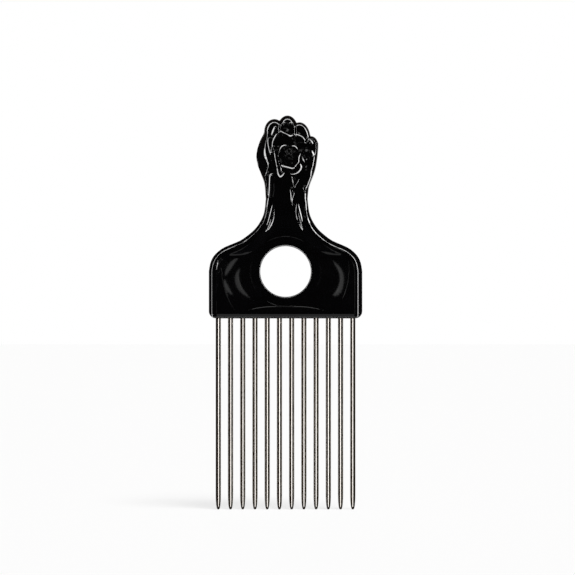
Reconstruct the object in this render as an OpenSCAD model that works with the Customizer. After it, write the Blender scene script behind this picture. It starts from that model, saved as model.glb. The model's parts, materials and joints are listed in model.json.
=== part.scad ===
// Afro pick: one moulded handle with a raised fist, and a row of straight round steel tines.
// Lengths are in millimetres. +Z is up with the fist on top and -Y is the front.
// The origin is the centre of the hanging hole.

/* [Block] */
// Width of the block across the row of tines
block_w = 66; // [62:0.5:80]
// Height of the block's straight sides
block_h = 20.4; // [18:0.2:24]
// Radius of the block's lower corners
corner_r = 3.2; // [2:0.1:5]
// Thickness of the block at its raised rim
rim_t = 10.6; // [9:0.2:13]
// Radius that rounds the rim over to the sides
rim_round = 2.8; // [2:0.1:4.5]
// Radius that rounds the block's lower face, where the tines come out
foot_round = 1.4; // [0.8:0.1:2]
// Width of the raised rim before the face dips
rim_w = 3.3; // [2.8:0.1:4.5]
// Width of the raised rim along the lower face
foot_rim_w = 1.8; // [1:0.1:3]

/* [Hole] */
// Diameter of the hanging hole
hole_d = 21.8; // [16:0.2:24]
// Height of the hole's centre above the block's lower face
hole_h = 20.2; // [19.5:0.1:23]
// Radius that rounds each edge of the hole
hole_round = 0.8; // [0.4:0.1:1.2]
// Diameter of the flat land round the hole
land_d = 30.2; // [28:0.2:33]
// Thickness of the block at the flat land
land_t = 6.4; // [5.5:0.1:8]
// Depth of the small step round the land
land_step = 0.1; // [0.05:0.05:0.4]

/* [Shoulders and wrist] */
// Height of the curved shoulders, from the block's sides up to the wrist
shoulder_h = 31.1; // [28:0.2:36]
// Width of the wrist at its narrowest
wrist_w = 18.2; // [15:0.2:22]
// Thickness of the wrist
wrist_t = 10; // [8.5:0.2:12]
// How far the wrist stands to the right of the block's middle
wrist_shift = 0.5; // [-2:0.1:2]

/* [Fist] */
// Height of the fist above the narrowest part of the wrist
fist_h = 36; // [32:0.5:42]
// Width of the fist
fist_w = 26.8; // [25:0.2:32]
// Thickness of the fist over the thumb
fist_t = 15; // [12:0.2:18]
// How far the fist stands to the right of the block's middle
fist_shift = 0.8; // [-2:0.1:2]

/* [Tines] */
// Number of tines
tine_count = 12; // [8:1:12]
// Distance from the block's side to the middle of the nearest tine
tine_margin = 4; // [3.6:0.05:6]
// Diameter of a tine
tine_d = 2.25; // [1.6:0.05:2.6]
// Length of a tine below the block
tine_len = 82.4; // [50:0.2:110]
// Length of the tapered end of a tine
tine_taper = 5.5; // [3:0.5:20]
// Diameter of the rounded tip
tip_d = 1.65; // [1:0.05:1.8]
// Depth of a tine's root inside the block
root_len = 7; // [5:0.1:7.2]
// Diameter of the upset head that locks a root in the moulding
head_d = 3.3; // [2.8:0.1:3.6]
// Height of the upset head
head_h = 1.1; // [0.8:0.1:1.5]

/* [Hidden] */
tine_names = [for (i = [1:tine_count]) str("tine_", i < 10 ? "0" : "", i)];
$fn = 64;

// Smallest half thickness of the moulding, left as a flat along the parting line
parting = 0.25;
// One overrun serves every cut
over = 1;
// Width over which two forms of the hand run together
blend = 0.28;
// Rise of the dished face, from the land out to the rim
dish_run = 12.4;
// Width over which the raised rim falls away into the dish
rim_fall = 3.4;
// Share of the half thickness that stays upright at the block's sides and at its lower face
side_wall_share = 0.45;
foot_wall_share = 0.5;
// Widths over which the hand's sides rise to their height: all round, and at the base of the thumb
hand_side_w = 1.9;
thumb_side_w = 3.2;
// Width over which a finger's front steps down at the crease below it
crease_w = 3;

// Heights of the main levels
bottom_z = -hole_h;
side_z = bottom_z + block_h;
wrist_z = side_z + shoulder_h;
top_z = wrist_z + fist_h;
// Distance from one tine to the next
tine_pitch = (block_w - 2 * tine_margin) / (tine_count - 1);

// Shoulder outline: share of the shoulder's height, share of the way in from block to wrist
shoulder_shares = [
    [0, 0], [0.12, 0.03], [0.21, 0.09], [0.29, 0.195], [0.335, 0.292], [0.375, 0.415],
    [0.415, 0.538], [0.46, 0.63], [0.57, 0.8], [0.68, 0.903], [0.8, 0.967], [1, 1]
];
// Hand outline: share of the fist's height, share of the way out from wrist to fist
left_shares = [
    [0, 0], [0.11, 0.07], [0.2, 0.19], [0.3, 0.5], [0.39, 0.81], [0.44, 0.92], [0.51, 1],
    [0.58, 0.93], [0.63, 0.79], [0.68, 0.6], [0.73, 0.33], [0.775, 0.18], [0.82, 0.16]
];
right_shares = [
    [0, 0], [0.08, 0.05], [0.13, 0.11], [0.18, 0.24], [0.27, 0.51], [0.37, 0.74],
    [0.46, 0.87], [0.56, 0.97], [0.61, 1], [0.66, 1], [0.82, 1]
];

// Fingers, index to little: middle across, drop of the top, half width and height of the arch,
// reach below the arch, thickness and height of the crease. Thickness is a share of half the
// fist's thickness, and the others are shares of its width or height.
finger_shares = [
    [-0.209, 0.042, 0.164, 0.146, 0.2, 0.8, 0.837],
    [0.002, 0, 0.172, 0.183, 0.2, 0.86, 0.854],
    [0.194, 0.08, 0.181, 0.2, 0.14, 0.8, 0.84],
    [0.381, 0.247, 0.119, 0.119, 0.14, 0.76, 0.625]
];
// How far a finger's front steps down at its crease
crease_share = 0.2;
// Other forms of the palm side: middle across and up, half width, reach up and reach down,
// as shares of the fist's width or height, then the lean in degrees, the thickness as a share
// of half the fist's thickness, and how square the form is
palm_shares = [
    // soft masses under the folds
    [0.03, 0.56, 0.32, 0.22, 0.34, -4, 0.68, 2.6],
    [-0.31, 0.534, 0.21, 0.222, 0.24, 5, 0.74, 2.4],
    [0.25, 0.64, 0.1, 0.12, 0.1, 0, 0.84, 2],
    [0.425, 0.44, 0.09, 0.22, 0.26, 3, 0.66, 2.2],
    // curled fingers, side of the thumb and its pad, cushion under the pad
    [0.022, 0.592, 0.262, 0.208, 0.206, -6, 0.91, 3.4],
    [-0.131, 0.386, 0.06, 0.108, 0.122, 16, 0.87, 2.6],
    [0.02, 0.514, 0.162, 0.128, 0.136, 2, 1, 4],
    [0.09, 0.353, 0.138, 0.06, 0.06, -6, 0.82, 2.6],
    // wedge between index and thumb, base of the thumb, lower joint of the little finger
    [-0.284, 0.653, 0.045, 0.111, 0.115, 3, 0.84, 2],
    [-0.362, 0.52, 0.1, 0.2, 0.21, 0, 0.83, 2.4],
    [0.326, 0.461, 0.108, 0.104, 0.104, 4, 0.84, 2.6],
    // heel of the palm, and the two cords of the wrist
    [0.01, 0.17, 0.3, 0.19, 0.42, 0, 0.73, 4],
    [0.21, 0.06, 0.05, 0.2, 0.28, -7, 0.78, 2],
    [-0.26, 0.03, 0.05, 0.2, 0.28, 8, 0.78, 2]
];
// Forms of the back of the hand, in the same terms
back_shares = [
    [-0.2, 0.66, 0.12, 0.12, 0.16, 0, 0.82, 2],
    [0.002, 0.68, 0.12, 0.12, 0.18, 0, 0.86, 2],
    [0.18, 0.62, 0.12, 0.12, 0.18, 0, 0.82, 2],
    [0.345, 0.54, 0.11, 0.12, 0.16, 0, 0.76, 2],
    [0, 0.42, 0.4, 0.26, 0.42, 0, 0.74, 2.6],
    [-0.36, 0.44, 0.13, 0.26, 0.24, 8, 0.72, 2]
];

// Grid of the moulded surface: columns from side to side, and rows in each zone
columns = 38;
foot_rows = 4;
side_rows = 6;
shoulder_rows = 16;
wrist_rows = 6;
fist_rows = 30;
// Height at which the rows start to bend up to the knuckles
fist_start_share = 0.3;
fist_start_z = wrist_z + fist_start_share * fist_h;
// Height of the middle of the thumb's base, how far it reaches, and where its reach fades
thumb_share = 0.506;
thumb_reach_share = 0.25;
thumb_fade_share = 0.18;
// Height that the hand's sides climb to over their width, and the power of that climb
side_top_share = 0.827;
side_power_share = 0.65;

// Small helpers
function mix(a, b, t) = a + (b - a) * t;
function clip(t) = min(1, max(0, t));
function ease(t) = let (c = clip(t)) c * c * (3 - 2 * c);
function total(values) = values * [for (v = values) 1];

// Smooth curve through points of the form [place, value]
function slope(points, i) =
    let (a = max(0, i - 1), b = min(len(points) - 1, i + 1))
    (points[b][1] - points[a][1]) / (points[b][0] - points[a][0]);
function curve(points, at) =
    let (
        last = len(points) - 1,
        i = max(0, min(last - 1, total([for (p = points) p[0] <= at ? 1 : 0]) - 1)),
        gap = points[i + 1][0] - points[i][0],
        t = clip((at - points[i][0]) / gap),
        rise = points[i + 1][1] - points[i][1]
    )
    points[i][1] + rise * t * t * (3 - 2 * t)
    + gap * slope(points, i) * t * (1 - t) * (1 - t)
    - gap * slope(points, i + 1) * t * t * (1 - t);

// Outline of the handle at height z, for side -1 on the left and 1 on the right
function plain_edge(z, side) =
    let (wrist_x = wrist_shift + side * wrist_w / 2, fist_x = fist_shift + side * fist_w / 2)
    z <= side_z ? side * block_w / 2
    : z <= wrist_z ? mix(side * block_w / 2, wrist_x, curve(shoulder_shares, (z - side_z) / shoulder_h))
    : mix(wrist_x, fist_x, curve(side < 0 ? left_shares : right_shares, (z - wrist_z) / fist_h));
function corner_inset(z) =
    let (up = min(corner_r, z - bottom_z)) corner_r - sqrt(up * (2 * corner_r - up));
function edge(z, side) = plain_edge(z, side) - side * corner_inset(z);

// A finger's middle, half width, the height of its arch's base and the arch
function finger_x(f) = fist_shift + f[0] * fist_w;
function finger_half(f) = f[2] * fist_w;
function finger_z(f) = top_z - (f[1] + f[3]) * fist_h;
function finger_arch(f) = f[3] * fist_h;
function arch_at(f, x) =
    finger_z(f) + finger_arch(f) * sqrt(max(0, 1 - pow((x - finger_x(f)) / finger_half(f), 2)));
first_x = finger_x(finger_shares[0]) - finger_half(finger_shares[0]);
last_x = finger_x(finger_shares[3]) + finger_half(finger_shares[3]);
function knuckle_z(x) =
    max([for (f = finger_shares) if (abs(x - finger_x(f)) <= finger_half(f) + parting) arch_at(f, x)]);

// Distance in from the outline, measured square to it
function side_gap(x, z, side) =
    let (lean = (plain_edge(z + parting, side) - plain_edge(z - parting, side)) / (2 * parting))
    side * (plain_edge(z, side) - x) / sqrt(1 + lean * lean);
// Distance in from the sides and the lower face together
function inset(across, up) =
    let (a = corner_r - across, b = corner_r - up)
    a > 0 && b > 0 ? max(0, corner_r - norm([a, b])) : min(across, up);
// Share of the thickness left at a distance in from a rounded edge
function rounded(gap, radius, wall) =
    let (q = clip(gap / radius)) wall + (1 - wall) * sqrt(1 - (1 - q) * (1 - q));

// Half thickness of one rounded form of the hand at x, z
function dome(x, z, mid_x, mid_z, half, up, down, lean, high, square_by) =
    let (
        dx = (x - mid_x) * cos(lean) + (z - mid_z) * sin(lean),
        dz = (z - mid_z) * cos(lean) - (x - mid_x) * sin(lean),
        out = pow(abs(dx) / half, square_by) + pow(abs(dz) / (dz > 0 ? up : down), square_by)
    )
    out < 1 ? high * sqrt(1 - out) : 0;
function finger_dome(x, z, f) =
    let (step = crease_share * ease((wrist_z + f[6] * fist_h - z) / crease_w))
    dome(x, z, finger_x(f), finger_z(f), finger_half(f), finger_arch(f), f[4] * fist_h, 0,
         f[5] * fist_t / 2, 2) * (1 - step);
function form_dome(x, z, g) =
    dome(x, z, fist_shift + g[0] * fist_w, wrist_z + g[1] * fist_h, g[2] * fist_w, g[3] * fist_h,
         g[4] * fist_h, g[5], g[6] * fist_t / 2, g[7]);
// The forms run together where they meet
function join_forms(heights) = blend * ln(total([for (h = heights) exp(h / blend)]));
function lower_form(a, b) = -blend * ln(exp(-a / blend) + exp(-b / blend));

// Height that the hand's sides allow, at a distance in from the left and the right side
function side_limit(left, right, z) =
    let (
        thumb = ease((thumb_reach_share * fist_h - abs(z - wrist_z - thumb_share * fist_h))
                     / (thumb_fade_share * fist_h)),
        run = left < right ? mix(hand_side_w, thumb_side_w, thumb) : hand_side_w
    )
    side_top_share * fist_t / 2 * pow(max(0, min(left, right)) / run, side_power_share);

// Half thickness of the hand, without the rounding of its sides
palm_end_share = 0.7;
function hand_at(x, z, forms) =
    let (
        reach = clip((z - fist_start_z) / (palm_end_share * fist_h - (fist_start_z - wrist_z))),
        palm = wrist_t / 2 * sqrt(1 - reach * reach)
    )
    join_forms(concat(
        [palm],
        [for (f = finger_shares) finger_dome(x, z, f)],
        [for (g = forms) form_dome(x, z, g)]
    ));

// Half thickness of the block's dished face
dish_power_share = 1.5;
function block_at(x, z, gap) =
    let (
        out = clip((norm([x, z]) - land_d / 2) / dish_run),
        depth = (rim_t - land_t) / 2 - land_step,
        dip = depth * (1 - pow(out, dish_power_share)) * ease((gap - rim_w) / rim_fall)
    )
    rim_t / 2 - dip;

// Half thickness of the moulding at x, z
function half_at(x, z, forms) =
    let (
        left = side_gap(x, z, -1),
        right = side_gap(x, z, 1),
        across = max(0, min(left, right)),
        up = z - bottom_z,
        hand = ease((z - side_z - shoulder_h / 2) / (shoulder_h / 2)),
        gap = inset(across, up + rim_w - foot_rim_w),
        block = block_at(x, z, gap) * rounded(across, rim_round, side_wall_share)
                * rounded(up, foot_round, foot_wall_share),
        whole = hand > 0 ? hand_at(x, z, forms) : 0,
        trimmed = hand > 0 ? lower_form(whole, side_limit(left, right, z)) : 0,
        little = finger_shares[3],
        knuckles = ease((z - finger_z(little)) / finger_arch(little))
    )
    max(parting, mix(block, mix(trimmed, whole, knuckles), hand));

// Heights of the rows below the fist
row_heights = concat(
    [for (i = [0:foot_rows - 1]) bottom_z + foot_round * (1 - cos(90 * i / foot_rows))],
    [for (i = [0:side_rows - 1]) mix(bottom_z + foot_round, side_z, i / side_rows)],
    [for (i = [0:shoulder_rows - 1]) mix(side_z, wrist_z, i / shoulder_rows)],
    [for (i = [0:wrist_rows - 1]) mix(wrist_z, fist_start_z, i / wrist_rows)]
);
row_count = len(row_heights) + fist_rows;

// Columns crowd towards the sides of the block, and stand evenly across the hand
function column_share(i, crowd) = mix(i / columns, (1 - cos(180 * i / columns)) / 2, crowd);
function body_point(i, z) =
    let (s = column_share(i, 1 - 0.8 * ease((z - side_z) / shoulder_h)))
    [mix(edge(z, -1), edge(z, 1), s), z];

// The fist's rows fill the patch between its two sides, its lowest row and the knuckles
left_top_z = finger_z(finger_shares[0]);
right_top_z = finger_z(finger_shares[3]);
function side_point(t, side) =
    let (z = mix(fist_start_z, side < 0 ? left_top_z : right_top_z, t))
    [t < 1 ? edge(z, side) : side < 0 ? first_x : last_x, z];
function knuckle_point(i) =
    let (x = mix(first_x, last_x, column_share(i, 0.5))) [x, knuckle_z(x)];
function fist_point(i, t) =
    let (
        s = column_share(i, 0.2),
        low = body_point(i, fist_start_z),
        high = knuckle_point(i),
        left = side_point(t, -1),
        right = side_point(t, 1),
        flat = mix(mix(side_point(0, -1), side_point(0, 1), s), mix(side_point(1, -1), side_point(1, 1), s), t)
    )
    mix(low, high, t) + mix(left, right, s) - flat;
function grid_point(i, j) =
    j < len(row_heights) ? body_point(i, row_heights[j])
    : fist_point(i, (j - len(row_heights)) / (fist_rows - 1));

// The moulding as one closed skin: a front sheet, a back sheet and the edge between them
module moulding() {
    flat_points = [for (j = [0:row_count - 1], i = [0:columns]) grid_point(i, j)];
    front = [for (p = flat_points) [p[0], -half_at(p[0], p[1], palm_shares), p[1]]];
    back = [for (p = flat_points) [p[0], half_at(p[0], p[1], back_shares), p[1]]];
    wide = columns + 1;
    count = len(flat_points);
    rim = concat(
        [for (i = [0:columns - 1]) i],
        [for (j = [0:row_count - 2]) j * wide + columns],
        [for (i = [columns:-1:1]) (row_count - 1) * wide + i],
        [for (j = [row_count - 1:-1:1]) j * wide]
    );
    cells = [for (j = [0:row_count - 2], i = [0:columns - 1]) j * wide + i];
    faces = concat(
        [for (c = cells) each [[c, c + wide, c + 1], [c + 1, c + wide, c + wide + 1]]],
        [for (c = cells) each [
            [count + c, count + c + 1, count + c + wide],
            [count + c + 1, count + c + wide + 1, count + c + wide]
        ]],
        [for (k = [0:len(rim) - 1]) let (a = rim[k], b = rim[(k + 1) % len(rim)]) each [
            [a, b, count + a],
            [b, count + b, count + a]
        ]]
    );
    polyhedron(concat(front, back), faces);
}

// Cutter for the hanging hole, with a flare at each face that rounds the edge
module hole_cutter() {
    rotate([90, 0, 0]) cylinder(d = hole_d, h = land_t + 2 * over, center = true);
    for (side = [0, 180]) rotate([90, 0, side]) rotate_extrude() difference() {
        translate([0, land_t / 2 - hole_round]) square([hole_d / 2 + hole_round, hole_round + over]);
        translate([hole_d / 2 + hole_round, land_t / 2 - hole_round]) circle(hole_round);
    }
}

// Cutter that planes the land flat on both faces
module land_cutter() {
    for (side = [0, 180]) rotate([90, 0, side])
        translate([0, 0, land_t / 2]) cylinder(d = land_d, h = rim_t / 2);
}

// One tine: upset head, straight shank, tapered end and round tip
module tine_shape() {
    tip_z = -tine_len + tip_d / 2;
    translate([0, 0, root_len - head_h]) cylinder(d = head_d, h = head_h);
    translate([0, 0, -tine_len + tine_taper]) cylinder(d = tine_d, h = tine_len + root_len - tine_taper);
    translate([0, 0, tip_z]) cylinder(d1 = tip_d, d2 = tine_d, h = tine_taper - tip_d / 2);
    translate([0, 0, tip_z]) sphere(d = tip_d);
}
module at_tine(i) translate([(i - (tine_count + 1) / 2) * tine_pitch, 0, bottom_z]) children();

module handle() {
    color([0.02, 0.02, 0.022]) difference() {
        moulding();
        land_cutter();
        hole_cutter();
        for (i = [1:tine_count]) at_tine(i) tine_shape();
    }
}
module tine(i) {
    color([0.78, 0.77, 0.76]) at_tine(i) tine_shape();
}

handle();
for (i = [1:tine_count]) tine(i);
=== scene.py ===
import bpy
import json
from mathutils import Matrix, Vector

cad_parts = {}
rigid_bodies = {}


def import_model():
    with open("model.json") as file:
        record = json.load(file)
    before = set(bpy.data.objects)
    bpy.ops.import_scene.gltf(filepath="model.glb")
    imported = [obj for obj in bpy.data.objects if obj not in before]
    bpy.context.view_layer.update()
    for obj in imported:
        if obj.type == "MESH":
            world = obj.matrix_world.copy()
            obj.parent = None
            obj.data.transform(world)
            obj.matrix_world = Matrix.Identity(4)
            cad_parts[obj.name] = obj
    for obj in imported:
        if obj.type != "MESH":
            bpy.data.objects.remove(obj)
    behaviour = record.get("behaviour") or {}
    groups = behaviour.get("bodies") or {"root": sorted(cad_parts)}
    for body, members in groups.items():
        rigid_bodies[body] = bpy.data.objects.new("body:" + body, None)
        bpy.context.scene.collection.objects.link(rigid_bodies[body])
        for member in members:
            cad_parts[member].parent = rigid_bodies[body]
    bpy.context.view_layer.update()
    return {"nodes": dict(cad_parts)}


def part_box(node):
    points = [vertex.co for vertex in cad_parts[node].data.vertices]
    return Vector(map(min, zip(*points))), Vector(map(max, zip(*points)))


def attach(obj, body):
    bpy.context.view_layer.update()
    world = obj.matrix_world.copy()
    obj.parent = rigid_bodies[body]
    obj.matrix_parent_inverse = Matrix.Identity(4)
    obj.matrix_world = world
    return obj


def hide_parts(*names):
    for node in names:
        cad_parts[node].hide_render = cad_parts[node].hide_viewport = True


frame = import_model()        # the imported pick: one handle and twelve tines

import json
import math
from functools import partial

import bmesh
import bpy
import numpy as np
from mathutils import Matrix, Vector

mm = 0.001
print("frame loaded:", len(frame["nodes"]), "nodes")


class Socket:
    # wraps one output, so that shader maths reads as plain expressions
    def __init__(self, graph, link):
        self.graph, self.link = graph, link

    def math(self, operation, other):
        return self.graph.node("ShaderNodeMath", {"operation": operation}, self, other)

    def __add__(self, other):
        return self.math("ADD", other)

    def __mul__(self, other):
        return self.math("MULTIPLY", other)

    __radd__, __rmul__ = __add__, __mul__


class Graph:
    def __init__(self, tree):
        self.tree = tree
        tree.nodes.clear()

    def node(self, kind, settings=None, *values, output=0, **named):
        made = self.tree.nodes.new(kind)
        for name, value in (settings or {}).items():
            setattr(made, name, value)
        for place, value in list(enumerate(values)) + list(named.items()):
            socket = made.inputs[place.replace("_", " ")] if isinstance(place, str) else made.inputs[place]
            if isinstance(value, Socket):
                self.tree.links.new(value.link, socket)
            else:
                socket.default_value = value
        return Socket(self, made.outputs[output]) if made.outputs else made

    def mixColour(self, factor, first, second):
        made = self.tree.nodes.new("ShaderNodeMix")
        made.data_type = "RGBA"
        for place, value in ((0, factor), (6, first), (7, second)):
            if isinstance(value, Socket):
                self.tree.links.new(value.link, made.inputs[place])
            else:
                made.inputs[place].default_value = value
        return Socket(self, made.outputs[2])


def newMaterial(name):
    material = bpy.data.materials.new(name)
    material.use_nodes = True
    return material, Graph(material.node_tree)


def objectPlace(graph, stretch=(1, 1, 1)):
    # the pattern's own place on the piece
    place = graph.node("ShaderNodeTexCoord", output="Object")
    return graph.node("ShaderNodeMapping", None, place, Scale=stretch)


# black moulded plastic: mirror gloss with the faint swell of a moulded skin and a few hairline rubs
plasticLook = {
    "colour": (0.0003, 0.00035, 0.0005, 1), "worn": (0.001, 0.001, 0.0012, 1), "wornShare": 0.5,
    "roughness": 0.04, "cloudy": 0.02, "rubbed": 0.07,
    "cloudScale": 160, "wornFrom": 0.45, "wornTo": 0.75,
    "rubScale": 2600, "rubStretch": 0.12, "hairFrom": 0.62, "hairTo": 0.8,
    "swellScale": 90, "swellStrength": 0.12, "swellDepth": 0.00015,
}


def blackPlastic(look):
    material, graph = newMaterial("blackPlastic")
    place = objectPlace(graph)
    lengthwise = objectPlace(graph, (1, 1, look["rubStretch"]))
    cloud = graph.node("ShaderNodeTexNoise", None, place, Scale=look["cloudScale"], Detail=3, Roughness=0.55)
    rub = graph.node("ShaderNodeTexNoise", None, lengthwise, Scale=look["rubScale"], Detail=2)
    swell = graph.node("ShaderNodeTexNoise", None, place, Scale=look["swellScale"], Detail=1)
    worn = graph.node("ShaderNodeMapRange", None, cloud, look["wornFrom"], look["wornTo"])
    hair = graph.node("ShaderNodeMapRange", None, rub, look["hairFrom"], look["hairTo"])
    colour = graph.mixColour(worn * look["wornShare"], look["colour"], look["worn"])
    roughness = worn * hair * look["rubbed"] + cloud * look["cloudy"] + look["roughness"]
    bump = graph.node(
        "ShaderNodeBump", None, Strength=look["swellStrength"], Distance=look["swellDepth"], Height=swell,
    )
    shader = graph.node(
        "ShaderNodeBsdfPrincipled", None, Base_Color=colour, Roughness=roughness, IOR=1.5, Normal=bump,
    )
    graph.node("ShaderNodeOutputMaterial", None, shader)
    return material


# drawn steel wire under bright nickel, with grain along its length and a warm cast
steelLook = {
    "bright": (0.84, 0.81, 0.77, 1), "dull": (0.66, 0.6, 0.53, 1), "grainDulls": 0.25, "castDulls": 0.35,
    "roughness": 0.1, "grainRough": 0.05, "castRough": 0.03,
    "grainScale": 1500, "grainStretch": 0.02, "castScale": 60, "castStretch": 0.3, "from": 0.35, "to": 0.7,
    "grainStrength": 0.25, "grainDepth": 0.00002,
}


def tineSteel(look):
    material, graph = newMaterial("tineSteel")
    along = objectPlace(graph, (1, 1, look["grainStretch"]))
    grain = graph.node("ShaderNodeTexNoise", None, along, Scale=look["grainScale"], Detail=4, Roughness=0.6)
    slow = objectPlace(graph, (1, 1, look["castStretch"]))
    cast = graph.node("ShaderNodeTexNoise", None, slow, Scale=look["castScale"], Detail=2)
    line = graph.node("ShaderNodeMapRange", None, grain, look["from"], look["to"])
    warm = graph.node("ShaderNodeMapRange", None, cast, look["from"], look["to"])
    colour = graph.mixColour(line * look["grainDulls"] + warm * look["castDulls"], look["bright"], look["dull"])
    roughness = line * look["grainRough"] + warm * look["castRough"] + look["roughness"]
    bump = graph.node(
        "ShaderNodeBump", None, Strength=look["grainStrength"], Distance=look["grainDepth"], Height=grain,
    )
    shader = graph.node(
        "ShaderNodeBsdfPrincipled", None, Base_Color=colour, Roughness=roughness, Metallic=1, Normal=bump,
    )
    graph.node("ShaderNodeOutputMaterial", None, shader)
    return material


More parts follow.
